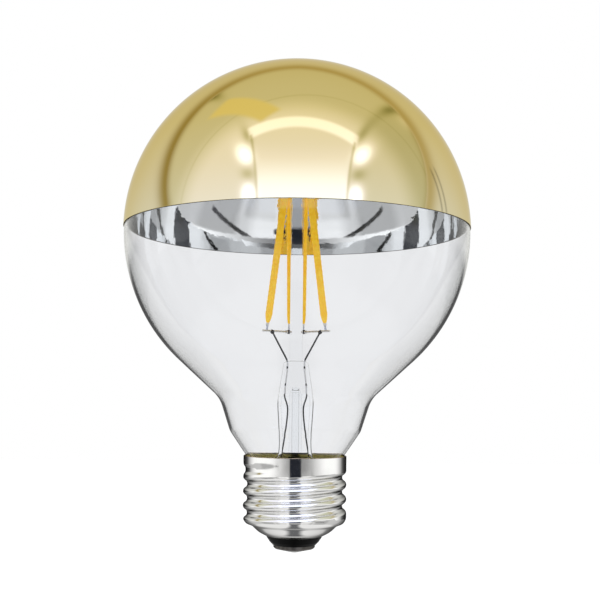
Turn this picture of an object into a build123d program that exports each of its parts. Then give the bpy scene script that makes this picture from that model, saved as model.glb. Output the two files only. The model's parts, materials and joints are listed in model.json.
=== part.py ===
from build123d import *
import os
from math import asin, cos, degrees, radians, sin, sqrt

# Millimetres, Z up along the axis. The origin is the tip of the centre contact and -Y is the front.

# Globe
globe_diameter = 90.0      # over the gold
glass_wall = 0.7
film = 0.2                 # each of the two coats
film_clearance = 0.05      # between the inner coat and the glass
mirror_edge_rise = 0.9     # lower edge of both coats, above the globe's centre

# Neck of the globe: radius and height of each corner, and the radius of its bend
flank_angle = 42.2         # of the neck where it leaves the globe, above the horizontal
shoulder_radius = 19.5
shoulder_z = 38.8
shoulder_bend = 8.0
throat_widening = 5.4      # wider than the seal
throat_z = 30.5
throat_bend = 5.0
seal_turn_z = 22.6
seal_bend = 3.0
seal_z = 17.5              # the neck is sealed to the stem here, inside the cap

# Screw cap, 27 mm nominal, rolled from sheet with seven turns to the inch
cap_wall = 0.3
crest_radius = 13.2
thread_pitch = 25.4 / 7
thread_depth = 1.05
lowest_root_z = 7.99       # on the +X side, where the lower run-out begins
foot_bend = 2.2
thread_turns = 3.72        # run-outs included
run_out_turns = 0.4
rim_z = 24.3
thread_top_z = 21.9
turn_in_z = 9.0            # the cap bends inwards below this
thread_foot_z = 7.3
fold_share = 0.82          # radius of the step at the thread's foot, as a share of the crest's
fold_z = 6.6
mouth_share = 0.55         # the same for the opening that the insulator closes
mouth_z = 4.1
bowl_bulge = 0.35          # how far the closing bowl between them stands out of a straight cone
bore_foot_z = 8.2          # lower end of the plain bore behind the thread
sections_around = 36
stations_along = 60

# Insulator and centre contact
insulator_share = 0.76     # radius of its foot, as a share of the cap's mouth
insulator_foot_z = 1.9
insulator_step = 0.7
insulator_top_z = 6.8
flange_inset = 0.1         # inside the sleeve's outer face
contact_share = 0.96       # radius of the head, as a share of the insulator's foot
contact_edge = 0.35
contact_cone_z = 0.95
contact_land_radius = 1.0
contact_shank_radius = 1.2
contact_shank_z = 7.6

# Stem: the flared glass tube, its press, the exhaust tube and the centre rod
press_top_z = 48.7
press_bottom_z = 40.7
press_top_size = (6.4, 3.8)       # across X and Y
press_middle_size = (7.0, 4.2)
press_low_size = (8.2, 5.4)
press_middle_z = 46.0
press_low_z = 42.2
stem_top_radius = 4.65
stem_top_z = 37.5
stem_waist_radius = 4.15
stem_waist_z = 27.5
stem_wall = 0.7
flare_shares = (0.61, 0.30, 0.10)  # of the way from waist to seal: at the seal, in the middle, on top
flare_middle_z = 19.2
flare_top_z = 22.5
dome_radius = 2.9
exhaust_radius = 1.6
exhaust_bore = 0.85
exhaust_tip_z = 13.6
exhaust_tip_length = 2.4
exhaust_peak_z = 41.9
blow_hole_radius = 0.7
blow_hole_z = 41.1
rod_radius = 1.65
rod_head_radius = 2.6
rod_head_height = 3.6
rod_head_above = 1.6       # the head's top above the higher of its two wires

# Filaments: two to the front, seen flat, and two behind, seen on edge
filament_length = 38.0
filament_width = 1.8
filament_thickness = 1.0
filament_taper = 2.6
filament_nose = 0.35
jacket_chamfer = 0.25
carrier_width = 0.8
carrier_thickness = 0.35
carrier_reach = 0.5        # how far the ceramic carrier stands out of each end
pin_length = 1.9
pin_width = 0.5
front_foot = (7.4, -1.5)   # X and Y on the right-hand side
front_top = (2.6, -1.2)    # at the upper end of the top pin
back_foot = (1.95, 3.0)
back_top = (2.37, 1.6)
foot_z = 58.1

# Wires
bar_wire = 0.5
bar_z = foot_z - pin_length
bar_overhang = 1.6
bar_pad_length = 1.9
bar_pad_diameter = 0.85
top_wire = 0.45
top_wire_overhang = 0.7
lead_wire = 0.45
lead_top_x = 6.3
lead_press_x = 2.3
lead_joint_z = 46.0
outer_lead_wire = 0.4
outer_lead_points = [(2.85, 40.4), (2.02, 35.4), (3.45, 24.9)]
outer_lead_inset = 1.1     # inside the flare's middle

# Driver inside the cap
sleeve_inset = 1.85        # from the plain bore behind the thread
sleeve_wall = 0.5
sleeve_top_z = 14.4
ledge_width = 0.8
board_clearance = 0.2      # inside the sleeve
board_thickness = 0.8
board_z = 8.6
lead_hole_inset = 3.7      # this and the next four are from the board's edge
capacitor_inset = 3.9
resistor_inset = 3.3
chip_inset = 4.1
neutral_hole_inset = 1.4
hole_clearance = 0.15
capacitor_diameter = 5.0
capacitor_height = 6.0
capacitor_rim = 0.5
resistor_diameter = 2.4
resistor_length = 6.5
resistor_rim = 0.6
rectifier_size = (4.8, 3.9, 1.5)
controller_size = (4.9, 3.9, 1.4)
chip_taper = 5
link_wire = 0.4
link_stand = 0.5           # how far the pin stands out of the board
link_gap = 0.1
neutral_link_z = 15.25

# Basing cement between neck and cap
cement_top_z = 23.9
cement_foot_z = 21.9
cement_width = 1.5
cement_clearance = 0.05

# Worked out from the sizes above
glass_radius = globe_diameter / 2 - film
inner_glass_radius = glass_radius - glass_wall
flank = radians(flank_angle)
globe_centre_z = shoulder_z + (glass_radius - shoulder_radius * sin(flank)) / cos(flank)
skirt_bore = crest_radius - cap_wall
thread_bore = skirt_bore - thread_depth
fold_radius = crest_radius * fold_share
mouth_radius = crest_radius * mouth_share
bowl_radius = (fold_radius + mouth_radius + bowl_bulge) / 2
bowl_z = (fold_z + mouth_z - bowl_bulge) / 2
seal_radius = skirt_bore - cement_width
throat_radius = seal_radius + throat_widening
flare_radius, flare_middle_radius, flare_top_radius = (
    stem_waist_radius + share * (seal_radius - stem_waist_radius) for share in flare_shares
)
insulator_foot_radius = mouth_radius * insulator_share
contact_radius = insulator_foot_radius * contact_share
sleeve_radius = thread_bore - sleeve_inset
insulator_flange_radius = sleeve_radius - flange_inset
sleeve_bore = sleeve_radius - sleeve_wall
board_radius = sleeve_bore - board_clearance
board_lead_x = board_radius - lead_hole_inset
neutral_hole_x = board_radius - neutral_hole_inset


def seat_angle(radius):
    """The angle above the horizontal at which a circle about the globe's centre meets the mirror's edge."""
    return degrees(asin(mirror_edge_rise / radius))


# Glass globe with its neck, blown in one piece
with BuildPart() as glass_envelope:
    with BuildSketch(Plane.XZ) as envelope_section:
        with BuildLine() as envelope_line:
            crown = CenterArc((0, globe_centre_z), glass_radius, 90, flank_angle - 180)
            neck = FilletPolyline(
                crown @ 1,
                (shoulder_radius, shoulder_z),
                (throat_radius, throat_z),
                (seal_radius, seal_turn_z),
                (seal_radius, seal_z),
                radius=(shoulder_bend, throat_bend, seal_bend),
            )
            offset(amount=glass_wall, side=Side.RIGHT)
        make_face()
    revolve(axis=Axis.Z)


def crown_coat(outer_radius):
    """A film over the upper half of a circle about the globe's centre, as a section to revolve."""
    radii = (outer_radius, outer_radius - film)
    with BuildSketch(Plane.XZ) as coat:
        with BuildLine():
            arcs = [
                CenterArc((0, globe_centre_z), r, seat_angle(r), 90 - seat_angle(r)) for r in radii
            ]
            Line(arcs[0] @ 0, arcs[1] @ 0)
            Line(arcs[0] @ 1, arcs[1] @ 1)
        make_face()
    return coat.sketch


# Gold outside the crown and the mirror inside it
gold_section = crown_coat(globe_diameter / 2)
with BuildPart() as gold_coat:
    revolve(gold_section, axis=Axis.Z)

mirror_section = crown_coat(inner_glass_radius - film_clearance)
with BuildPart() as silver_mirror:
    revolve(mirror_section, axis=Axis.Z)


# Rolled thread of the cap: two equal arcs, crest and root, meet at a quarter of the pitch
arc_radius = ((thread_pitch / 4) ** 2 + (thread_depth / 2) ** 2) / thread_depth


def root_depth(offset_z):
    """How far the rolled wall lies inside the plain cap, by height from a root."""
    reach = abs(offset_z - thread_pitch * round(offset_z / thread_pitch))
    if reach < thread_pitch / 4:
        return thread_depth - arc_radius + sqrt(arc_radius**2 - reach**2)
    return arc_radius - sqrt(arc_radius**2 - (thread_pitch / 2 - reach) ** 2)


def ease(share):
    """A smooth step from 0 to 1."""
    share = min(max(share, 0), 1)
    return share * share * (3 - 2 * share)


def cap_radius(z, angle):
    """The cap's outer radius in its threaded stretch, at an angle in degrees."""
    bend = max(turn_in_z - z, 0)
    plain = crest_radius - foot_bend + sqrt(foot_bend**2 - bend**2)
    rise = lowest_root_z + thread_pitch * angle / 360
    turn = round((z - rise) / thread_pitch) + angle / 360
    fade = ease(turn / run_out_turns) * ease((thread_turns - turn) / run_out_turns)
    return plain - fade * root_depth(z - rise)


def cap_section(angle):
    """The cap's wall in the half plane at an angle: thread, foot, closing bowl, plain bore, skirt and rim."""
    drop = thread_top_z - thread_foot_z
    stations = [thread_top_z - drop * i / stations_along for i in range(stations_along + 1)]
    outside = [(cap_radius(z, angle), z) for z in stations]
    step = cap_wall / 2
    half_plane = Plane(
        origin=(0, 0, 0),
        x_dir=(cos(radians(angle)), sin(radians(angle)), 0),
        z_dir=(sin(radians(angle)), -cos(radians(angle)), 0),
    )
    with BuildSketch(half_plane) as wall:
        with BuildLine():
            Spline(*outside)
            Polyline(
                outside[-1],
                (fold_radius + step, fold_z + step),
                (fold_radius, fold_z),
                (bowl_radius, bowl_z),
                (mouth_radius, mouth_z),
                (mouth_radius, mouth_z + cap_wall),
                (bowl_radius - step, bowl_z + cap_wall),
                (fold_radius - step, fold_z + cap_wall),
                (thread_bore, bore_foot_z),
                (thread_bore, thread_top_z - thread_depth),
                (skirt_bore, thread_top_z),
                (skirt_bore, rim_z),
                (crest_radius, rim_z),
                outside[0],
            )
        make_face()
    return wall.sketch.face()


# Cap shell, plated brass
around = [cap_section(360 * i / sections_around) for i in range(sections_around)]
with BuildPart() as cap_shell:
    loft(sections=around + [around[0]])

# Black insulator that closes the cap, seated on the inside of the closing bowl
with BuildPart() as cap_insulator:
    with BuildSketch(Plane.XZ) as insulator_section:
        with BuildLine():
            bowl_slope = (fold_z - bowl_z) / (fold_radius - bowl_radius)
            flange_z = bowl_z + cap_wall + bowl_slope * (insulator_flange_radius - bowl_radius + cap_wall / 2)
            Polyline(
                (contact_shank_radius, insulator_foot_z),
                (insulator_foot_radius, insulator_foot_z),
                (insulator_foot_radius + insulator_step, insulator_foot_z + insulator_step),
                (mouth_radius, mouth_z),
                (mouth_radius, mouth_z + cap_wall),
                (bowl_radius - cap_wall / 2, bowl_z + cap_wall),
                (insulator_flange_radius, flange_z),
                (insulator_flange_radius, insulator_top_z),
                (contact_shank_radius, insulator_top_z),
                close=True,
            )
        make_face()
    revolve(axis=Axis.Z)

# Centre contact: a broad shallow head on a shank through the insulator
with BuildPart() as centre_contact:
    with BuildSketch(Plane.XZ) as contact_section:
        with BuildLine():
            Polyline(
                (0, 0),
                (contact_land_radius, 0),
                (contact_radius - contact_edge, contact_cone_z),
                (contact_radius, contact_cone_z + contact_edge),
                (contact_radius, insulator_foot_z),
                (contact_shank_radius, insulator_foot_z),
                (contact_shank_radius, contact_shank_z),
                (0, contact_shank_z),
                close=True,
            )
        make_face()
    revolve(axis=Axis.Z)

# Cement between neck and cap
with BuildPart() as basing_cement:
    with BuildSketch(Plane.XZ) as cement_section:
        with BuildLine():
            bore = skirt_bore - cement_clearance
            Polyline(
                (seal_radius, cement_foot_z),
                (seal_radius + glass_wall / 2, cement_top_z),
                (bore, cement_top_z),
                (bore, cement_foot_z),
                close=True,
            )
        make_face()
    revolve(axis=Axis.Z)
    add(glass_envelope.part, mode=Mode.SUBTRACT)


def wire(points, diameter):
    """A round wire along a path with mitred bends."""
    with BuildPart() as bent_wire:
        with BuildLine():
            path = Polyline(*points)
        with BuildSketch(Plane(path @ 0, z_dir=path % 0)):
            Circle(diameter / 2)
        sweep(transition=Transition.RIGHT)
    return bent_wire.part


def rod_between(start, end, diameter):
    """A straight round wire."""
    way = Vector(*end) - Vector(*start)
    with BuildPart() as rod:
        with BuildSketch(Plane(Vector(*start), z_dir=way)):
            Circle(diameter / 2)
        extrude(amount=way.length)
    return rod.part


# Filament planes: origin at the lower end, Z along the filament and X across its flat
sides = {"left": -1, "right": 1}


def filament_plane(row, side):
    """The plane at the foot of one filament."""
    hand = sides[side]
    foot, top = (front_foot, front_top) if row == "front" else (back_foot, back_top)
    length = filament_length + pin_length
    lean = Vector(hand * (top[0] - foot[0]), top[1] - foot[1], 0)
    along = (lean + Vector(0, 0, sqrt(length**2 - lean.length**2))).normalized()
    across = Vector(1, 0, 0) if row == "front" else Vector(0, 1, 0)
    across = (across - along * across.dot(along)).normalized()
    return Plane(Vector(hand * foot[0], foot[1], foot_z), x_dir=across, z_dir=along)


planes = {(row, side): filament_plane(row, side) for row in ("front", "back") for side in sides}

# Cross bars: each joins the feet of the front and back filaments of its side
cross_bars = {}
for side, hand in sides.items():
    front = Vector(hand * front_foot[0], front_foot[1], bar_z)
    back = Vector(hand * back_foot[0], back_foot[1], bar_z)
    way = (back - front).normalized()
    bar = rod_between(front - way * bar_overhang, back, bar_wire)
    half_pad = way * bar_pad_length / 2
    pad = rod_between(back - half_pad, back + half_pad, bar_pad_diameter)
    with BuildPart() as cross_bar:
        add([bar, pad])
    cross_bars[side] = cross_bar

# Bridges between the tops of the front pair and of the back pair, held in the rod's head
top_wires = {}
for row in ("front", "back"):
    plane = planes[row, "right"]
    top = plane.from_local_coords(Vector(0, 0, filament_length + pin_length))
    reach = top.X + top_wire_overhang
    top_wires[row] = rod_between((-reach, top.Y, top.Z), (reach, top.Y, top.Z), top_wire)


def filament_outline(flat_plane):
    """The flat outline of a filament, pointed at both ends."""
    half = filament_width / 2
    nose = filament_nose
    end = filament_length
    with BuildSketch(flat_plane) as flat:
        with BuildLine():
            Polyline(
                (-nose, 0),
                (nose, 0),
                (half, filament_taper),
                (half, end - filament_taper),
                (nose, end),
                (-nose, end),
                (-half, end - filament_taper),
                (-half, filament_taper),
                close=True,
            )
        make_face()
    return flat.sketch


# Filaments: a phosphor jacket over a ceramic carrier, with a metal pin at each end
jackets, carriers, pins = {}, {}, {}
for key, plane in planes.items():
    face_plane = Plane(plane.origin, x_dir=plane.x_dir, z_dir=-plane.y_dir)
    slot_plane = plane.offset(-carrier_reach)
    with BuildPart() as carrier:
        with BuildSketch(slot_plane):
            Rectangle(carrier_width, carrier_thickness)
        extrude(amount=filament_length + 2 * carrier_reach)
    outline = filament_outline(face_plane)
    with BuildPart() as jacket:
        extrude(outline, amount=filament_thickness / 2, both=True)
        flats = jacket.faces().sort_by(Axis(plane.origin, plane.y_dir))
        chamfer(flats[0].edges() + flats[-1].edges(), jacket_chamfer)
        add(carrier.part, mode=Mode.SUBTRACT)
    row, side = key
    jackets[key], carriers[key] = jacket, carrier
    for end, start, joined in (
        ("foot", -carrier_reach, cross_bars[side].part),
        ("top", filament_length + carrier_reach, top_wires[row]),
    ):
        reach = pin_length - carrier_reach
        with BuildPart() as pin:
            with BuildSketch(plane.offset(start)):
                Rectangle(pin_width, carrier_thickness)
            extrude(amount=-reach if end == "foot" else reach)
            add(joined, mode=Mode.SUBTRACT)
        pins[key + (end,)] = pin

# Leads: the inner ones rise from the press to the bars, the outer ones go down to the board
inner_leads, outer_leads = {}, {}
for side, hand in sides.items():
    share = (front_foot[0] - lead_top_x) / (front_foot[0] - back_foot[0])
    lead_top_y = front_foot[1] + share * (back_foot[1] - front_foot[1])
    joint = (hand * lead_press_x, 0, lead_joint_z)
    turn = (hand * lead_press_x, 0, press_top_z)
    rising = wire([joint, turn, (hand * lead_top_x, lead_top_y, bar_z)], lead_wire)
    with BuildPart() as inner_lead:
        add(rising)
        add(cross_bars[side].part, mode=Mode.SUBTRACT)
    inner_leads[side] = inner_lead
    flare_point = (flare_middle_radius - outer_lead_inset, flare_middle_z)
    bends = [(hand * x, 0, z) for x, z in outer_lead_points + [flare_point]]
    foot = (hand * board_lead_x, 0, board_z)
    outer_leads[side] = wire([joint, *bends, foot], outer_lead_wire)

# Exhaust tube, tipped off inside the cap
with BuildPart() as exhaust_tube:
    with BuildSketch(Plane.XZ) as exhaust_section:
        with BuildLine():
            Polyline(
                (0, exhaust_tip_z),
                (exhaust_radius / 3, exhaust_tip_z),
                (exhaust_radius, exhaust_tip_z + exhaust_tip_length),
                (exhaust_radius, press_bottom_z),
                (exhaust_bore, exhaust_peak_z),
                (exhaust_bore, exhaust_tip_z + exhaust_tip_length),
                (0, exhaust_tip_z + exhaust_tip_length / 2),
                close=True,
            )
        make_face()
    revolve(axis=Axis.Z)

# Stem: trumpet flare, tube and press in one piece of glass
with BuildPart() as glass_stem:
    with BuildSketch(Plane.XZ) as tube_section:
        with BuildLine():
            Polyline(
                (seal_radius, seal_z),
                (flare_radius, seal_z),
                (flare_middle_radius, flare_middle_z),
                (flare_top_radius, flare_top_z),
                (stem_waist_radius, stem_waist_z),
                (stem_top_radius, stem_top_z),
            )
            offset(amount=stem_wall, kind=Kind.INTERSECTION, side=Side.LEFT)
        make_face()
    revolve(axis=Axis.Z)
    with BuildSketch(Plane.XY.offset(stem_top_z)):
        Circle(stem_top_radius)
    for height, size in (
        (press_low_z, press_low_size),
        (press_middle_z, press_middle_size),
        (press_top_z, press_top_size),
    ):
        with BuildSketch(Plane.XY.offset(height)):
            Ellipse(size[0] / 2, size[1] / 2)
    loft()
    with BuildSketch(Plane.XZ) as dome_section:
        with BuildLine():
            Polyline(
                (0, stem_top_z),
                (stem_top_radius - stem_wall, stem_top_z),
                (dome_radius, press_bottom_z),
                (0, press_bottom_z),
                close=True,
            )
        make_face()
    revolve(axis=Axis.Z, mode=Mode.SUBTRACT)
    with BuildSketch(Plane.XZ) as peak_section:
        with BuildLine():
            Polyline(
                (0, press_bottom_z),
                (exhaust_radius, press_bottom_z),
                (exhaust_bore, exhaust_peak_z),
                (0, exhaust_peak_z),
                close=True,
            )
        make_face()
    revolve(axis=Axis.Z, mode=Mode.SUBTRACT)
    with BuildSketch(Plane.XZ.offset(-press_low_size[1])) as blow_hole:
        with Locations((0, blow_hole_z)):
            Circle(blow_hole_radius)
    extrude(amount=press_low_size[1], mode=Mode.SUBTRACT)
    add([inner_leads[side].part for side in sides], mode=Mode.SUBTRACT)
    add(list(outer_leads.values()), mode=Mode.SUBTRACT)

# Centre rod with the head that holds the two top wires
with BuildPart() as centre_rod:
    with BuildSketch(Plane.XZ) as rod_section:
        with BuildLine():
            rod_top_z = max(top.center().Z for top in top_wires.values()) + rod_head_above
            head_foot_z = rod_top_z - rod_head_height
            head_slope_z = rod_head_radius - rod_radius
            Polyline(
                (0, rod_top_z),
                (0, press_top_z),
                (rod_radius, press_top_z),
                (rod_radius, head_foot_z),
                (rod_head_radius, head_foot_z + head_slope_z),
                (rod_head_radius, rod_top_z - head_slope_z),
                (rod_radius, rod_top_z),
                close=True,
            )
        make_face()
    revolve(axis=Axis.Z)
    add(list(top_wires.values()), mode=Mode.SUBTRACT)

# Plastic sleeve that stands on the insulator and carries the board on its ledge
with BuildPart() as insulating_sleeve:
    with BuildSketch(Plane.XZ) as sleeve_section:
        with BuildLine():
            Polyline(
                (sleeve_bore - ledge_width, insulator_top_z),
                (insulator_flange_radius, insulator_top_z),
                (insulator_flange_radius, insulator_top_z + sleeve_wall),
                (sleeve_radius, insulator_top_z + 2 * sleeve_wall),
                (sleeve_radius, sleeve_top_z),
                (sleeve_bore, sleeve_top_z),
                (sleeve_bore, board_z),
                (sleeve_bore - ledge_width, board_z),
                close=True,
            )
        make_face()
    revolve(axis=Axis.Z)

# Round driver board with its wire holes
board_top_z = board_z + board_thickness
lead_holes = [(hand * board_lead_x, 0) for hand in sides.values()]
link_holes = [(0, 0), (neutral_hole_x, 0)]
with BuildPart() as driver_board:
    with BuildSketch(Plane.XY.offset(board_z)):
        Circle(board_radius)
        with Locations(*lead_holes, *link_holes):
            Circle(link_wire / 2 + hole_clearance, mode=Mode.SUBTRACT)
    extrude(amount=board_thickness)

# Smoothing capacitor, standing on the board
with BuildPart() as smoothing_capacitor:
    with BuildSketch(Plane.XY.offset(board_top_z)):
        with Locations((0, board_radius - capacitor_inset)):
            Circle(capacitor_diameter / 2)
    extrude(amount=capacitor_height)
    chamfer(smoothing_capacitor.faces().sort_by(Axis.Z)[-1].edges(), capacitor_rim)

# Fusible resistor, lying on the board
with BuildPart() as fusible_resistor:
    resistor_z = board_top_z + resistor_diameter / 2
    resistor_end = (-resistor_length / 2, resistor_inset - board_radius, resistor_z)
    with BuildSketch(Plane(resistor_end, z_dir=(1, 0, 0))):
        Circle(resistor_diameter / 2)
    extrude(amount=resistor_length)
    chamfer(fusible_resistor.edges().filter_by(GeomType.CIRCLE), resistor_rim)

# Surface-mounted rectifier and current controller under the board
with BuildPart() as bridge_rectifier:
    with BuildSketch(Plane.XY.offset(board_z)):
        with Locations((0, chip_inset - board_radius)):
            Rectangle(rectifier_size[0], rectifier_size[1])
    extrude(amount=-rectifier_size[2], taper=chip_taper)

with BuildPart() as current_controller:
    with BuildSketch(Plane.XY.offset(board_z)):
        with Locations((0, board_radius - chip_inset)):
            Rectangle(controller_size[0], controller_size[1])
    extrude(amount=-controller_size[2], taper=chip_taper)

# Links: a straight pin up from the centre contact, and a bent wire out to the cap's wall
phase_link = rod_between((0, 0, contact_shank_z), (0, 0, board_top_z + link_stand), link_wire)
neutral_link = wire(
    [
        (neutral_hole_x, 0, board_z),
        (neutral_hole_x, 0, neutral_link_z),
        (thread_bore - link_gap, 0, neutral_link_z),
    ],
    link_wire,
)

pieces = {
    "glass_envelope": glass_envelope.part,
    "gold_coat": gold_coat.part,
    "silver_mirror": silver_mirror.part,
    "glass_stem": glass_stem.part,
    "exhaust_tube": exhaust_tube.part,
    "centre_rod": centre_rod.part,
    "cap_shell": cap_shell.part,
    "cap_insulator": cap_insulator.part,
    "centre_contact": centre_contact.part,
    "basing_cement": basing_cement.part,
    "insulating_sleeve": insulating_sleeve.part,
    "driver_board": driver_board.part,
    "smoothing_capacitor": smoothing_capacitor.part,
    "fusible_resistor": fusible_resistor.part,
    "bridge_rectifier": bridge_rectifier.part,
    "current_controller": current_controller.part,
    "phase_link": phase_link,
    "neutral_link": neutral_link,
}
for side in sides:
    pieces["cross_bar_" + side] = cross_bars[side].part
    pieces["inner_lead_" + side] = inner_leads[side].part
    pieces["outer_lead_" + side] = outer_leads[side]
for row in top_wires:
    pieces["top_wire_" + row] = top_wires[row]
for (row, side), jacket in jackets.items():
    pieces[f"filament_{row}_{side}"] = jacket.part
    pieces[f"carrier_{row}_{side}"] = carriers[row, side].part
for (row, side, end), pin in pins.items():
    pieces[f"pin_{row}_{side}_{end}"] = pin.part

os.makedirs("parts", exist_ok=True)
for name, piece in pieces.items():
    piece.label = name
    export_step(piece, f"parts/{name}.step")
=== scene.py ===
"""Looks for the LED globe lamp: blown glass, a gold crown with a silvered inside, and a rolled screw cap."""
import json
from math import acos, atan2, cos, degrees, exp, hypot, pi, radians, sin, sqrt, tan

import bpy
from mathutils import Matrix, Vector


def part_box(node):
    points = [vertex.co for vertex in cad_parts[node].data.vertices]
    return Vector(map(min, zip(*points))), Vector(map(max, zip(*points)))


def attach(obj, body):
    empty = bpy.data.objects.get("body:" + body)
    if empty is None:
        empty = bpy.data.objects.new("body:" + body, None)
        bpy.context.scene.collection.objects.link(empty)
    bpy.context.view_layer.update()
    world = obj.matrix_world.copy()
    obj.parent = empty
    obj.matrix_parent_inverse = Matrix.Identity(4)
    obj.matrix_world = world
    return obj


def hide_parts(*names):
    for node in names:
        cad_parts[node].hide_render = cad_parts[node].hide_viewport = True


MM = 0.001

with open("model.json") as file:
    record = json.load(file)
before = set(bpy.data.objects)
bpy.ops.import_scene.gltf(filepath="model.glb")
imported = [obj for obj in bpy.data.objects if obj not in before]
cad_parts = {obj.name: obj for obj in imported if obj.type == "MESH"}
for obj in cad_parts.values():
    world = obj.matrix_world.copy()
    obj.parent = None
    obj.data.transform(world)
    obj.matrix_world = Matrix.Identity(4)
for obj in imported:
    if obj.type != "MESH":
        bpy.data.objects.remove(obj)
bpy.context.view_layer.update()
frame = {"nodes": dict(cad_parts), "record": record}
nodes = frame["nodes"]


def height_range(node):
    """Lowest and highest point of a node, in millimetres."""
    low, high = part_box(node)
    return low.z / MM, high.z / MM


# Sizes in millimetres, the same as the solids'
gold_low, gold_high = height_range("gold_coat")
globe_radius = (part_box("gold_coat")[1].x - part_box("gold_coat")[0].x) / MM / 2
globe_z = gold_high - globe_radius
glass_wall = 0.7
film = 0.2
film_clearance = 0.05
mirror_edge_z = gold_low
shoulder = (19.5, 38.8, 8.0)
throat = (16.8, 30.5, 5.0)
seal_turn = (11.4, 22.6, 3.0)
seal_z = 17.5
cap_wall = 0.3
crest_radius = 13.2
thread_pitch = 25.4 / 7
thread_depth = 1.05
lowest_root_z = 7.99
foot_bend = 2.2
thread_turns = 3.72
run_out_turns = 0.4
rim_z = height_range("cap_shell")[1]
turn_in_z = 9.0
thread_foot_z = 7.3
fold = (10.824, 6.6)
bowl = (9.217, 5.175)
mouth = (7.26, 4.1)
stem_wall = 0.7
stem_points = [(11.4, 17.5), (8.57, 17.5), (6.33, 19.2), (4.88, 22.5), (4.15, 27.5), (4.65, 37.5)]
press_sections = [(8.2, 5.4, 42.2), (7.0, 4.2, 46.0), (6.4, 3.8, 48.7)]
press_edge_drop = 0.7
press_crown = ((0.95, 0.4), (0.8, 0.18), (0.55, 0.05), (0, 0))
vault_points = [(3.75, 39.6), (2.9, 40.7), (1.6, 40.9), (0, 41.9)]
filament_length = 38.0
filament_width = 1.8
filament_thickness = 1.0
filament_taper = 2.2
filament_nose = 0.35
pin_length = 1.9
front_foot = (7.4, -1.5)
front_top = (2.6, -1.2)
back_foot = (1.95, 3.0)
back_top = (2.37, 1.6)
foot_z = 58.1
bar_z = foot_z - pin_length
lead_radius = 0.225
lead_top_x = 6.3
lead_press_x = 2.3
lead_joint_z = 46.0
press_top_z = 48.7
outer_lead_radius = 0.2
outer_lead_points = [(2.85, 40.4), (2.02, 35.4), (3.45, 24.9), (5.23, 19.2), (5.6, 8.6)]
glass_radius = globe_radius - film
inner_glass_radius = glass_radius - glass_wall


# Meshes
def smooth_mesh(name, vertices, faces, edge_angle=35):
    """A mesh in metres from points in millimetres, smooth except across sharp edges."""
    mesh = bpy.data.meshes.new(name)
    mesh.from_pydata([Vector(v) * MM for v in vertices], [], faces)
    mesh.update()
    mesh.shade_smooth()
    mesh.set_sharp_from_angle(angle=radians(edge_angle))
    made = bpy.data.objects.new(name, mesh)
    bpy.context.scene.collection.objects.link(made)
    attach(made, "root")
    return made


def lathe(name, outline, segments):
    """Turns a closed outline of (radius, height) round Z; outline(angle) may change with the angle."""
    rings = []
    vertices = []
    sections = [outline(360 * i / segments) for i in range(segments)]
    for j in range(len(sections[0])):
        if all(section[j][0] < 1e-6 for section in sections):
            vertices.append((0, 0, sections[0][j][1]))
            rings.append([len(vertices) - 1] * segments)
            continue
        ring = []
        for i, section in enumerate(sections):
            angle = 2 * pi * i / segments
            radius, height = section[j]
            vertices.append((radius * cos(angle), radius * sin(angle), height))
            ring.append(len(vertices) - 1)
        rings.append(ring)
    faces = []
    for upper, lower in zip(rings, rings[1:] + rings[:1]):
        for i in range(segments):
            k = (i + 1) % segments
            corners = list(dict.fromkeys((upper[i], lower[i], lower[k], upper[k])))
            if len(corners) > 2:
                faces.append(corners)
    return smooth_mesh(name, vertices, faces)


def sweep(name, path, ring, across):
    """A closed body along a path; ring(share) gives the section's points, with its first axis across."""
    vertices = []
    faces = []
    stations = [Vector(p) for p in path]
    count = len(ring(0))
    for i, here in enumerate(stations):
        along = (stations[min(i + 1, len(stations) - 1)] - stations[max(i - 1, 0)]).normalized()
        first = (across - along * across.dot(along)).normalized()
        second = along.cross(first)
        for u, v in ring(i / (len(stations) - 1)):
            vertices.append(here + first * u + second * v)
    for i in range(len(stations) - 1):
        for j in range(count):
            k = (j + 1) % count
            faces.append((i * count + j, i * count + k, (i + 1) * count + k, (i + 1) * count + j))
    faces.append(list(range(count))[::-1])
    last = (len(stations) - 1) * count
    faces.append(list(range(last, last + count)))
    return smooth_mesh(name, vertices, faces)


def circle(radius, points=14):
    """Points on a circle."""
    return [(radius * cos(2 * pi * i / points), radius * sin(2 * pi * i / points)) for i in range(points)]


def arc(centre_z, radius, start, end, steps):
    """Points on a circle about the axis point at centre_z, by angles in degrees above the horizontal."""
    angles = [radians(start + (end - start) * i / steps) for i in range(steps + 1)]
    return [(max(radius * cos(a), 0), centre_z + radius * sin(a)) for a in angles]


def curve_through(points, steps=12):
    """A smooth curve through points, as a list of tuples."""
    stops = [Vector(p) for p in points]
    stops = [2 * stops[0] - stops[1]] + stops + [2 * stops[-1] - stops[-2]]
    made = []
    for a, b, c, d in zip(stops, stops[1:], stops[2:], stops[3:]):
        for k in range(steps):
            t = k / steps
            point = b + (c - a) * t / 2
            point += (2 * a - 5 * b + 4 * c - d) * t**2 / 2
            point += (3 * b - a - 3 * c + d) * t**3 / 2
            made.append(tuple(point))
    made.append(tuple(points[-1]))
    return made


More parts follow.
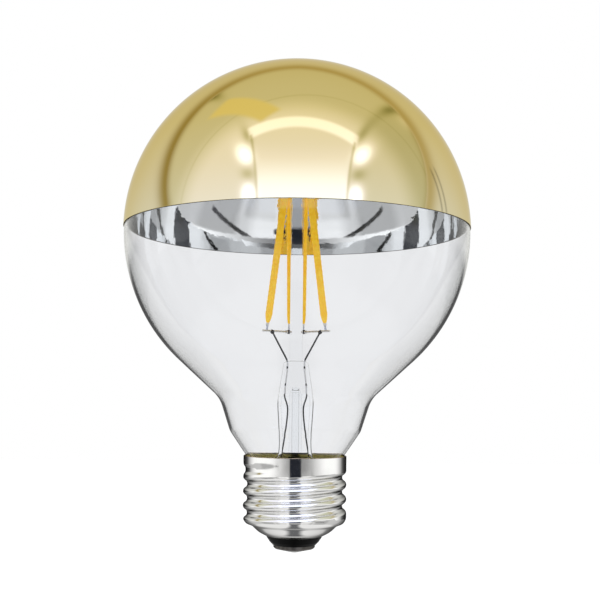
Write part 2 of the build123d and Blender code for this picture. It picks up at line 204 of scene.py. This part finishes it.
def rounded(start, corners, end, steps=14):
    """A line from start to end whose corners (radius, height, bend) are rounded."""
    points = [Vector(start)]
    stops = [Vector(c[:2]) for c in corners] + [Vector(end)]
    for i, corner in enumerate(corners):
        here = stops[i]
        before = (points[-1] - here).normalized()
        after = (stops[i + 1] - here).normalized()
        half = acos(max(-1, min(1, before.dot(after)))) / 2
        reach = corner[2] / tan(half)
        centre = here + (before + after).normalized() * corner[2] / sin(half)
        first = here + before * reach - centre
        last = here + after * reach - centre
        turn = first.angle_signed(last)
        for k in range(steps + 1):
            angle = -turn * k / steps
            spun = Vector((
                first.x * cos(angle) - first.y * sin(angle),
                first.x * sin(angle) + first.y * cos(angle),
            ))
            points.append(centre + spun)
    points.append(Vector(end))
    return [tuple(p) for p in points]


def inset(points, distance):
    """The line moved sideways, to the right of its way."""
    moved = []
    for i, here in enumerate(points):
        before = Vector(points[max(i - 1, 0)])
        after = Vector(points[min(i + 1, len(points) - 1)])
        way = (after - before).normalized()
        moved.append((max(here[0] + way.y * distance, 0), here[1] - way.x * distance))
    return moved


def ease(share):
    """A smooth step from 0 to 1."""
    share = min(max(share, 0), 1)
    return share * share * (3 - 2 * share)


# Glass globe with its neck
def envelope_outline():
    """The wall of the globe and neck."""
    drop = globe_z - shoulder[1]
    reach = hypot(shoulder[0], drop)
    touch = degrees(acos(glass_radius / reach) - atan2(drop, shoulder[0]))
    crown = arc(globe_z, glass_radius, 90, touch, 120)
    neck = rounded(crown[-1], (shoulder, throat, seal_turn), (seal_turn[0], seal_z))
    outside = crown + neck[1:]
    inside = inset(outside, glass_wall)
    inside[0] = (0, globe_z + inner_glass_radius)
    inside[-1] = (seal_turn[0] - glass_wall, seal_z)
    return outside + inside[::-1]


def coat_outline(outer_radius):
    """A film on the upper half of the globe."""
    rims = [degrees(atan2(mirror_edge_z - globe_z, r)) for r in (outer_radius, outer_radius - film)]
    outside = arc(globe_z, outer_radius, 90, rims[0], 90)
    inside = arc(globe_z, outer_radius - film, 90, rims[1], 90)
    return outside + inside[::-1]


# Stem: a flared tube whose top is pressed flat
def stem_outline(angle):
    """The stem's wall at an angle: flare, tube and press outside, bore and dome inside."""
    press = []
    for width, depth, height in press_sections:
        half_width, half_depth = width / 2, depth / 2
        spread = hypot(half_depth * cos(radians(angle)), half_width * sin(radians(angle)))
        press.append((half_width * half_depth / spread, height))
    outside = curve_through(stem_points + press[:-1] + [(press[-1][0], press[-1][1] - press_edge_drop)])
    top_radius, top_z = press[-1]
    crown = [(top_radius * share, top_z - drop) for share, drop in press_crown]
    tube_steps = 12 * (len(stem_points) - 1) + 1
    inside = inset(outside[:tube_steps], -stem_wall)
    vault = curve_through([inside[-1]] + vault_points, 6)[1:]
    return outside + crown + vault[::-1] + inside[::-1]


# Screw cap
arc_radius = ((thread_pitch / 4) ** 2 + (thread_depth / 2) ** 2) / thread_depth


def root_depth(offset_z):
    """How far the rolled wall lies inside the plain cap, by height from a root."""
    reach = abs(offset_z - thread_pitch * round(offset_z / thread_pitch))
    if reach < thread_pitch / 4:
        return thread_depth - arc_radius + sqrt(arc_radius**2 - reach**2)
    return arc_radius - sqrt(arc_radius**2 - (thread_pitch / 2 - reach) ** 2)


def cap_radius(z, angle):
    """The cap's outer radius in its threaded stretch, at an angle in degrees."""
    bend = max(turn_in_z - z, 0)
    plain = crest_radius - foot_bend + sqrt(foot_bend**2 - bend**2)
    rise = lowest_root_z + thread_pitch * angle / 360
    turn = round((z - rise) / thread_pitch) + angle / 360
    fade = ease(turn / run_out_turns) * ease((thread_turns - turn) / run_out_turns)
    return plain - fade * root_depth(z - rise)


def cap_outline(angle, stations=170):
    """The cap's wall at an angle: rim, skirt, thread, foot and closing bowl."""
    lip = 0.12
    top_z = rim_z - lip
    heights = [top_z + (thread_foot_z - top_z) * i / stations for i in range(1, stations + 1)]
    outside = [(cap_radius(z, angle), z) for z in heights]
    inside = [(radius - cap_wall, z) for radius, z in outside[::2]]
    step = cap_wall / 2
    bore = crest_radius - cap_wall
    rim = [(bore, rim_z - lip), (bore + lip, rim_z), (crest_radius - lip, rim_z), (crest_radius, rim_z - lip)]
    under = curve_through([fold, bowl, mouth], 8)
    above = [(radius - step, z + cap_wall) for radius, z in under[:-1]] + [(mouth[0], mouth[1] + cap_wall)]
    return rim + outside + [(fold[0] + step, fold[1] + step)] + under + above[::-1] + inside[::-1]


# Filaments
def filament_ring(share):
    """Section of a filament's jacket, rounded, drawn in towards its two ends and swelling over each chip."""
    from_end = filament_length * min(share, 1 - share)
    swell = 0.025 * cos(2 * pi * chips * share)
    draw = min(from_end / filament_taper, 1) ** 0.8
    tip = sqrt(max(1 - (1 - min(from_end / 0.5, 1)) ** 2, 0.02))
    half_width = (filament_nose + (filament_width / 2 - filament_nose) * draw) * tip + swell * draw
    half_depth = (0.24 + (filament_thickness / 2 - 0.24) * draw) * tip + swell * draw
    points = []
    for i in range(24):
        angle = 2 * pi * i / 24
        u, v = cos(angle), sin(angle)
        points.append((
            half_width * (abs(u) ** 0.75) * (1 if u > 0 else -1),
            half_depth * (abs(v) ** 0.75) * (1 if v > 0 else -1),
        ))
    return points


chips = 28


def filament_line(row, hand):
    """Lower and upper end of a filament's jacket."""
    foot, top = (front_foot, front_top) if row == "front" else (back_foot, back_top)
    start = Vector((hand * foot[0], foot[1], foot_z))
    lean = Vector((hand * (top[0] - foot[0]), top[1] - foot[1], 0))
    reach = filament_length + pin_length
    along = (lean + Vector((0, 0, sqrt(reach**2 - lean.length_squared)))).normalized()
    return start, start + along * filament_length


# Materials
def new_material(name, colour, metallic=0.0, roughness=0.5, **sockets):
    """A material of one shader, with its constants set on the shader's own sockets."""
    material = bpy.data.materials.new(name)
    material.use_nodes = True
    shader = material.node_tree.nodes["Principled BSDF"]
    shader.inputs["Base Color"].default_value = (*colour, 1)
    shader.inputs["Metallic"].default_value = metallic
    shader.inputs["Roughness"].default_value = roughness
    for socket, value in sockets.items():
        shader.inputs[socket.replace("_", " ")].default_value = value
    return material


def add_node(material, kind, **settings):
    """A node in the material, with its settings."""
    node = material.node_tree.nodes.new(kind)
    for key, value in settings.items():
        setattr(node, key, value)
    return node


def link(material, start, end):
    """Joins an output socket to an input socket."""
    material.node_tree.links.new(start, end)


def grain(material, scale, detail=4.0):
    """Noise in the object's own space."""
    place = add_node(material, "ShaderNodeTexCoord")
    noise = add_node(material, "ShaderNodeTexNoise")
    noise.inputs["Scale"].default_value = scale
    noise.inputs["Detail"].default_value = detail
    link(material, place.outputs["Object"], noise.inputs["Vector"])
    return noise.outputs["Fac"]


def vary(material, socket, scale, low, high):
    """Drives a shader socket by noise between two values."""
    spread = add_node(material, "ShaderNodeMapRange")
    spread.inputs["From Min"].default_value = 0.3
    spread.inputs["From Max"].default_value = 0.7
    spread.inputs["To Min"].default_value = low
    spread.inputs["To Max"].default_value = high
    link(material, grain(material, scale), spread.inputs["Value"])
    shader = material.node_tree.nodes["Principled BSDF"]
    link(material, spread.outputs["Result"], shader.inputs[socket])


def tint(material, scale, colours):
    """Lets the base colour drift between two colours."""
    ramp = add_node(material, "ShaderNodeValToRGB")
    ramp.color_ramp.elements[0].position = 0.35
    ramp.color_ramp.elements[1].position = 0.65
    for element, colour in zip(ramp.color_ramp.elements, colours):
        element.color = (*colour, 1)
    link(material, grain(material, scale), ramp.inputs["Fac"])
    shader = material.node_tree.nodes["Principled BSDF"]
    link(material, ramp.outputs["Color"], shader.inputs["Base Color"])


def bump(material, scale, depth, strength=1.0):
    """Fine unevenness of the surface, with its depth in millimetres."""
    relief = add_node(material, "ShaderNodeBump")
    relief.inputs["Strength"].default_value = strength
    relief.inputs["Distance"].default_value = depth * MM
    link(material, grain(material, scale), relief.inputs["Height"])
    shader = material.node_tree.nodes["Principled BSDF"]
    link(material, relief.outputs["Normal"], shader.inputs["Normal"])


def by_height(material, stops):
    """Sets the base colour by height on the object, from (height in millimetres, colour) pairs."""
    low, high = stops[0][0], stops[-1][0]
    place = add_node(material, "ShaderNodeTexCoord")
    split = add_node(material, "ShaderNodeSeparateXYZ")
    above = add_node(material, "ShaderNodeMapRange")
    above.inputs["From Min"].default_value = low * MM
    above.inputs["From Max"].default_value = high * MM
    ramp = add_node(material, "ShaderNodeValToRGB")
    for stop in stops[1:-1]:
        ramp.color_ramp.elements.new((stop[0] - low) / (high - low))
    for element, (height, colour) in zip(ramp.color_ramp.elements, stops):
        element.color = (*colour, 1)
    link(material, place.outputs["Object"], split.inputs["Vector"])
    link(material, split.outputs["Z"], above.inputs["Value"])
    link(material, above.outputs["Result"], ramp.inputs["Fac"])
    shader = material.node_tree.nodes["Principled BSDF"]
    link(material, ramp.outputs["Color"], shader.inputs["Base Color"])


def paint(obj, material):
    """Gives an object one material."""
    obj.data.materials.clear()
    obj.data.materials.append(material)


# Both glasses bend light less than real glass does, for edges as thin as the photograph's
glass_colour = (0.985, 0.99, 0.995)
clear_glass = new_material("clear_glass", glass_colour, roughness=0.0, Transmission_Weight=1.0, IOR=1.3)
bump(clear_glass, 18, 0.05)

thin_glass = new_material("thin_glass", glass_colour, roughness=0.0, Transmission_Weight=1.0, IOR=1.04)
bump(thin_glass, 60, 0.03)

gold = new_material("gold_film", (0.82, 0.67, 0.31), metallic=1.0)
gold.node_tree.nodes["Principled BSDF"].inputs["Specular Tint"].default_value = (0.86, 0.78, 0.55, 1)
vary(gold, "Roughness", 60, 0.03, 0.06)
# The base colour runs paler towards the film's lower edge, which was set to look like the photograph
film_colours = ((0.86, 0.78, 0.54), (0.84, 0.72, 0.42), (0.82, 0.67, 0.30), (0.80, 0.65, 0.29))
by_height(gold, list(zip((mirror_edge_z, mirror_edge_z + 9, mirror_edge_z + 22, gold_high), film_colours)))

silver = new_material("silver_film", (0.90, 0.915, 0.93), metallic=1.0, roughness=0.02)
vary(silver, "Roughness", 80, 0.01, 0.03)
bump(silver, 120, 0.05)

nickel = new_material("nickel_plate", (0.93, 0.925, 0.90), metallic=1.0)
# Specular Tint 0.10 is painted shade: it darkens the nickel's reflections towards its outline, which real
# nickel doesn't do
nickel.node_tree.nodes["Principled BSDF"].inputs["Specular Tint"].default_value = (0.10, 0.10, 0.10, 1)
vary(nickel, "Roughness", 400, 0.05, 0.10)
plate, brass = (0.93, 0.925, 0.91), (0.66, 0.54, 0.42)
by_height(nickel, [(rim_z - 0.22, plate), (rim_z - 0.10, brass)])

insulator_black = new_material("black_insulator", (0.002, 0.002, 0.002), Specular_IOR_Level=0.04)
vary(insulator_black, "Roughness", 500, 0.25, 0.40)

contact_metal = new_material("contact_metal", (0.10, 0.095, 0.09), metallic=1.0)
vary(contact_metal, "Roughness", 600, 0.25, 0.45)
tint(contact_metal, 500, ((0.05, 0.045, 0.04), (0.16, 0.15, 0.14)))

cement = new_material("cement", (0.52, 0.40, 0.10), roughness=0.6)
tint(cement, 700, ((0.66, 0.54, 0.08), (0.90, 0.78, 0.18)))
bump(cement, 900, 0.15)

wire = new_material("nickel_wire", (0.72, 0.71, 0.69), metallic=1.0, roughness=0.28)
vary(wire, "Roughness", 900, 0.2, 0.4)

lead = new_material("lead_wire", (0.06, 0.06, 0.065), metallic=0.9, roughness=0.4)
vary(lead, "Roughness", 900, 0.3, 0.5)
# Painted glare: pale where the press grips the leads, standing in for the bright glass of the seal over them,
# with dark flecks between, which was set to look like the photograph
dull, painted_glare = (0.06, 0.06, 0.065), (0.88, 0.87, 0.85)
by_height(lead, [
    (40.4, dull), (41.0, painted_glare), (42.2, painted_glare), (42.4, dull), (42.8, dull), (43.0, painted_glare), (46.6, painted_glare),
    (46.8, dull), (47.2, dull), (47.4, painted_glare), (48.5, painted_glare), (49.0, dull),
])

# The jackets' amber colour is their own; Emission Strength 0.30 in amber is a painted glow that makes them
# shine with no lamp in them lit
phosphor_and_glow = new_material(
    "phosphor_jacket", (1.0, 0.60, 0.04), roughness=0.4, Subsurface_Weight=0.2, Emission_Strength=0.30
)
phosphor_and_glow_shader = phosphor_and_glow.node_tree.nodes["Principled BSDF"]
phosphor_and_glow_shader.inputs["Subsurface Radius"].default_value = (0.0006, 0.0003, 0.0001)
phosphor_and_glow_shader.inputs["Emission Color"].default_value = (1.0, 0.56, 0.015, 1)
tint(phosphor_and_glow, 700, ((0.96, 0.54, 0.01), (1.0, 0.66, 0.04)))
bump(phosphor_and_glow, 1400, 0.06)

ceramic = new_material("white_ceramic", (0.85, 0.84, 0.80), roughness=0.5)
vary(ceramic, "Roughness", 900, 0.4, 0.6)

white_plastic = new_material("white_plastic", (0.80, 0.80, 0.78), roughness=0.45)
vary(white_plastic, "Roughness", 300, 0.35, 0.55)

laminate = new_material("board_laminate", (0.05, 0.22, 0.10), roughness=0.35)
vary(laminate, "Roughness", 500, 0.25, 0.45)

capacitor = new_material("capacitor_can", (0.03, 0.03, 0.04), roughness=0.3)
vary(capacitor, "Roughness", 500, 0.2, 0.4)

resistor = new_material("resistor_body", (0.25, 0.42, 0.46), roughness=0.55)
vary(resistor, "Roughness", 700, 0.45, 0.65)

chip = new_material("chip_body", (0.02, 0.02, 0.02), roughness=0.5)
vary(chip, "Roughness", 900, 0.4, 0.6)

paints = {
    "clear_glass": clear_glass, "gold_film": gold, "silver_film": silver, "nickel_plate": nickel,
    "black_insulator": insulator_black, "contact_metal": contact_metal, "cement": cement, "nickel_wire": wire,
    "lead_wire": lead, "phosphor_jacket": phosphor_and_glow, "white_ceramic": ceramic, "white_plastic": white_plastic,
    "board_laminate": laminate, "capacitor_can": capacitor, "resistor_body": resistor, "chip_body": chip,
}
for part in frame["record"]["subparts"]:
    node = nodes[part["node"]]
    paint(node, paints[part["material_slot"]])

# Pieces that stand for solids
globe_segments = 256
mirror_radius = inner_glass_radius - film_clearance
stand_ins = [
    (lathe("globe_glass", lambda angle: envelope_outline(), globe_segments), "glass_envelope"),
    (lathe("crown_gold", lambda angle: coat_outline(globe_radius), globe_segments), "gold_coat"),
    (
        lathe("crown_silver", lambda angle: coat_outline(mirror_radius), globe_segments),
        "silver_mirror",
    ),
    (lathe("screw_cap", cap_outline, 180), "cap_shell"),
    (lathe("stem_glass", stem_outline, 96), "glass_stem"),
]

for row in ("front", "back"):
    for side, hand in (("left", -1), ("right", 1)):
        start, end = filament_line(row, hand)
        steps = chips * 8
        path = [start.lerp(end, i / steps) for i in range(steps + 1)]
        across = Vector((1, 0, 0)) if row == "front" else Vector((0, 1, 0))
        jacket = sweep(f"jacket_{row}_{side}", path, filament_ring, across)
        stand_ins.append((jacket, f"filament_{row}_{side}"))

weld_radius = 0.55
bead_tip = 0.06
for side, hand in (("left", -1), ("right", 1)):
    share = (front_foot[0] - lead_top_x) / (front_foot[0] - back_foot[0])
    lead_top_y = front_foot[1] + share * (back_foot[1] - front_foot[1])
    joint = (hand * lead_press_x, 0, lead_joint_z)
    top = Vector((hand * lead_top_x, lead_top_y, bar_z))
    bend = Vector((hand * lead_press_x, 0, press_top_z))
    way = (top - bend).normalized()
    rising = [joint, bend, bend.lerp(top, 0.3), bend.lerp(top, 0.65), top]
    falling = [joint] + [(hand * x, 0, z) for x, z in outer_lead_points]
    rising_lead = sweep(
        f"rising_lead_{side}", curve_through(rising), lambda share: circle(lead_radius),
        Vector((0, 1, 0)),
    )
    falling_lead = sweep(
        f"falling_lead_{side}", curve_through(falling), lambda share: circle(outer_lead_radius),
        Vector((0, 1, 0)),
    )
    stand_ins.append((rising_lead, f"inner_lead_{side}"))
    stand_ins.append((falling_lead, f"outer_lead_{side}"))
    bead_path = [top + way * (-0.9 + 1.3 * i / 12) for i in range(13)]
    front = Vector((hand * front_foot[0], front_foot[1], bar_z))
    back = Vector((hand * back_foot[0], back_foot[1], bar_z))
    bar_way = (back - front).normalized()
    pad_path = [back + bar_way * (-1.0 + 1.9 * i / 12) for i in range(13)]
    for name, line, radius, upright in (
        (f"weld_{side}", bead_path, weld_radius, Vector((0, 1, 0))),
        (f"weld_back_{side}", pad_path, weld_radius, Vector((0, 0, 1))),
    ):
        bead = sweep(
            name, line, lambda share: circle(bead_tip + (radius - bead_tip) * sin(pi * share) ** 0.7),
            upright,
        )
        paint(bead, lead)

for piece, node in stand_ins:
    slot = next(part["material_slot"] for part in frame["record"]["subparts"] if part["node"] == node)
    paint(piece, thin_glass if node == "glass_stem" else paints[slot])
    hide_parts(node)
for name in ("exhaust_tube", "centre_rod"):
    paint(nodes[name], thin_glass)


# Light tent: a dome whose inner side glows by direction, like the cloth and boards of a photographer's tent
# Directions are unit vectors, x to the right, y to the back and z up, or azimuth and elevation in degrees
open_end = -9
back_level = 0.76
board_middle_x = 0.045
board_half_width = 0.455
board_edge_y = -0.46
seam_lines = (106, 111)
amber = (0.84, 0.76, 0.40)
night = (0.018, 0.020, 0.027)


def band(value, low, high, soft):
    """1 between low and high, falling smoothly to 0 outside."""
    return ease((value - low + soft) / soft) * (1 - ease((value - high) / soft))


def spot(value, centre, width):
    """1 at the centre, falling away on both sides."""
    return exp(-(((value - centre) / width) ** 2))


def upper_light(x, y, z):
    """Cloth above the lamp: bright in front, with a paler board, its lit edges and a seam over the crown."""
    level = 0.70 + 0.27 * ease((-y - 0.02) / 0.38)
    level *= 1 - 0.17 * ease((x - 0.45) / 0.2)
    seam = y - 0.175 * x + 0.03
    level *= 1 - 0.10 * spot(seam, 0, 0.012)
    across = abs(x - board_middle_x) - board_half_width
    board = band(across, open_end, 0, 0.015) * band(y, open_end, board_edge_y, 0.03)
    level += board * (0.34 * ease((0.80 - z) / 0.5) - 0.01)
    level += 0.35 * band(across, open_end, 0, 0.03) * band(y, board_edge_y, board_edge_y + 0.08, 0.05)
    beside = spot(across, 0.075, 0.06)
    level += 1.2 * beside * (spot(z, 0.64, 0.07) + spot(z, 0.26, 0.10))
    level -= 0.28 * beside * spot(z, 0.47, 0.06)
    level -= 0.35 * spot(across, 0.03, 0.035) * spot(z, 0.79, 0.05)
    level *= 1 - 0.35 * spot(across, 0, 0.012) * band(y, open_end, board_edge_y, 0.03)
    return level


def lower_light(azimuth, elevation):
    """Cloth and table below the lamp's middle, with a slanting dark line each side and darker cloth behind."""
    side = abs(azimuth)
    level = 0.95 - 0.25 * ease((side - 30) / 12) - 0.26 * ease((side - 44) / 8)
    level += 0.15 * ease((side - 76) / 10)
    level += 0.24 * ease((side - 158) / 8)
    level -= 0.20 * band(side, 20, 40, 6) * ease((-16 - elevation) / 6)
    line = elevation + 6.5 + (side - 40) * 11.5 / 28
    level *= 1 - 0.97 * band(line, -1.1, 1.1, 0.8) * band(side, 36, 70, 3)
    turned = -azimuth if azimuth < 0 else azimuth - 14
    wall = (0.24 + 0.84 * ease(turned / 62)) * (1 - 0.88 * ease((side - 98) / 44))
    wall_foot = 6.5 + 5 * ease((side - 98) / 10)
    level += (wall - level) * ease((elevation + wall_foot) / 1.5)
    level += (0.85 - level) * ease((-36 - elevation) / 8)
    return level * (1 - 0.35 * band(side, 132, 158, 10) * ease((elevation + 45) / 8))


def tent_light(azimuth, elevation):
    """Colour of the tent seen from the lamp, with a dark slot in front; azimuth 0 is the front."""
    x = sin(radians(azimuth)) * cos(radians(elevation))
    y = -cos(radians(azimuth)) * cos(radians(elevation))
    z = sin(radians(elevation))
    back_edge = y - 0.625 * z + 0.168 * abs(x)
    front = 1 - ease((back_edge + 0.01) / 0.02)
    above = back_level + (upper_light(x, y, z) - back_level) * front
    shade = spot(back_edge, 0.05, 0.13 if back_edge > 0.05 else 0.07)
    depth = 0.30 + 0.24 * ease(-x / 0.8)
    for place in seam_lines:
        above *= 1 - 0.45 * spot(azimuth, place, 1.0) * band(elevation, 13, 26, 4)
    below = lower_light(azimuth, elevation)
    share = ease((elevation - 1) / 5)
    level = below + (above - below) * share
    cool = 0.6 + 0.9 * (level - 0.42) if front > 0.5 else 0.96
    warm = band(0.53 * x - 0.85 * y + 0.145, -0.24, 0.24, 0.07)
    warm *= band(0.85 * x + 0.53 * y + 0.346, -0.07, 0.07, 0.06)
    warm *= ease((z - 0.7) / 0.1)
    glare = min(max(level - 1.05, 0), 0.25)
    colour = [level, level * (1 + 0.35 * glare), level * (1 + (min(cool, 1.14) - 1 + glare) * share)]
    colour = [c * (1 - (depth + more) * shade * share) for c, more in zip(colour, (0, 0.09, 0.32))]
    colour = [c + (w - c) * warm for c, w in zip(colour, amber)]
    deep = ease((-z - 0.5) / 0.3)
    wide = 0.06 * band(elevation, -12, -9, 1.5)
    slot = band(x, 0.11 * deep - 0.17 - wide, 0.22 - 0.16 * deep + wide, 0.04 + 0.10 * deep)
    slot *= band(z, open_end, 0.10, 0.05) * band(y, open_end, 0.5, 0.1)
    slot *= (1 - 0.15 * deep) * (1 - 0.4 * band(elevation, -36, -16, 4))
    return [c + (n - c) * slot for c, n in zip(colour, night)]


even_grey = (0.87, 0.87, 0.88, 1)
tent_radius = 6000.0
tent_steps = (540, 270)


def make_tent():
    """The dome; only reflections see its pattern, kept in a colour attribute, and other rays see even_grey."""
    columns, rows = tent_steps
    vertices = []
    colours = []
    for j in range(rows + 1):
        elevation = -90 + 180 * j / rows
        for i in range(columns):
            azimuth = -180 + 360 * i / columns
            flat = cos(radians(elevation))
            vertices.append(Vector((
                sin(radians(azimuth)) * flat,
                -cos(radians(azimuth)) * flat,
                sin(radians(elevation)),
            )) * tent_radius * MM)
            colours.extend(tent_light(azimuth, elevation) + [1])
    faces = []
    for j in range(rows):
        for i in range(columns):
            k = (i + 1) % columns
            faces.append((j * columns + i, j * columns + k, (j + 1) * columns + k, (j + 1) * columns + i))
    mesh = bpy.data.meshes.new("tent")
    mesh.from_pydata(vertices, [], faces)
    light = mesh.color_attributes.new("light", "FLOAT_COLOR", "POINT")
    light.data.foreach_set("color", colours)
    tent = bpy.data.objects.new("tent", mesh)
    tent.location = (0, 0, globe_z * MM)
    bpy.context.scene.collection.objects.link(tent)
    tent.visible_camera = False
    tent.visible_shadow = False
    material = bpy.data.materials.new("tent_cloth")
    material.use_nodes = True
    material.node_tree.nodes.clear()
    read = add_node(material, "ShaderNodeAttribute", attribute_name="light")
    rays = add_node(material, "ShaderNodeLightPath")
    choice = add_node(material, "ShaderNodeMix", data_type="RGBA")
    glow = add_node(material, "ShaderNodeEmission")
    output = add_node(material, "ShaderNodeOutputMaterial")
    choice.inputs["A"].default_value = even_grey
    link(material, rays.outputs["Glossy Depth"], choice.inputs["Factor"])
    link(material, read.outputs["Color"], choice.inputs["B"])
    link(material, choice.outputs["Result"], glow.inputs["Color"])
    link(material, glow.outputs["Emission"], output.inputs["Surface"])
    material.cycles.emission_sampling = "NONE"
    mesh.materials.append(material)


make_tent()

# Floor, well below the lamp and unseen in metal and glass, and a white world behind
floor_drop = 60.0
floor_size = 2.6
floor_mesh = bpy.data.meshes.new("floor")
half = floor_size / 2
floor_mesh.from_pydata(
    [(x, y, -floor_drop * MM) for x, y in ((-half, -half), (half, -half), (half, half), (-half, half))],
    [],
    [(0, 1, 2, 3)],
)
floor = bpy.data.objects.new("floor", floor_mesh)
bpy.context.scene.collection.objects.link(floor)
floor_white = new_material("floor_white", (0.8, 0.8, 0.8), roughness=0.9, Emission_Strength=0.4)
floor_white.node_tree.nodes["Principled BSDF"].inputs["Emission Color"].default_value = (1, 1, 1, 1)
vary(floor_white, "Roughness", 3, 0.85, 0.95)
paint(floor, floor_white)
floor.visible_glossy = False
floor.visible_transmission = False

world = bpy.data.worlds.new("white")
bpy.context.scene.world = world
world.use_nodes = True
world.node_tree.nodes["Background"].inputs["Color"].default_value = (1, 1, 1, 1)
world.node_tree.nodes["Background"].inputs["Strength"].default_value = 1.0

# Camera, a little below the globe and looking up
camera_data = bpy.data.cameras.new("camera")
camera = bpy.data.objects.new("camera", camera_data)
bpy.context.scene.collection.objects.link(camera)
camera_data.sensor_width = 36
camera_data.lens = 60.66
camera_data.clip_start = 0.01
camera_data.clip_end = 20
camera_place = (0.9, -262.2, 39.04)
camera_pitch = 5.52
camera_roll = 0.55
turn = Matrix.Rotation(radians(90 + camera_pitch), 4, "X") @ Matrix.Rotation(radians(camera_roll), 4, "Z")
camera.matrix_world = Matrix.Translation(Vector(camera_place) * MM) @ turn
bpy.context.scene.camera = camera
bpy.context.scene.view_settings.view_transform = "Standard"
